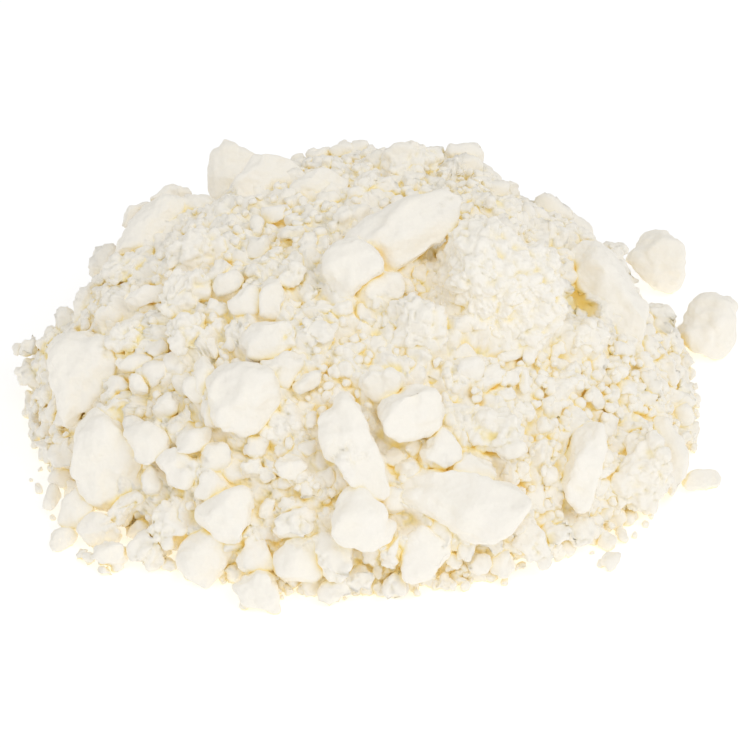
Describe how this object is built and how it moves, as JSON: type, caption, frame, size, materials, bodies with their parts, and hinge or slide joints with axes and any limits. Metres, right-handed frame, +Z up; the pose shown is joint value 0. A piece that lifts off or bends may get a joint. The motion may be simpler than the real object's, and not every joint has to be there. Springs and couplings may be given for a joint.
{
  "type": "crumbled goat cheese",
  "caption": "Low heap of soft white goat cheese broken into uneven lumps and crumbs, flat underneath, with a few lumps lying loose beside it.",
  "frame": {"origin": "middle of the box round the heap and its loose lumps, on the surface that they lie on", "axes": "+Z up from that surface; +X to the right of the side that is shown; -Y towards the viewer"},
  "size_m": [0.1383, 0.1299, 0.051],
  "materials": {
    "cheese": "soft fresh cheese, chalky and matte, white with a cream tint that deepens in the gaps"
  },
  "bodies": {
    "root": {"heap": "cheese", "loose_upper_right": "cheese", "loose_right": "cheese", "loose_low_right": "cheese", "loose_low_left": "cheese", "loose_front": "cheese"}
  },
  "joints": []
}
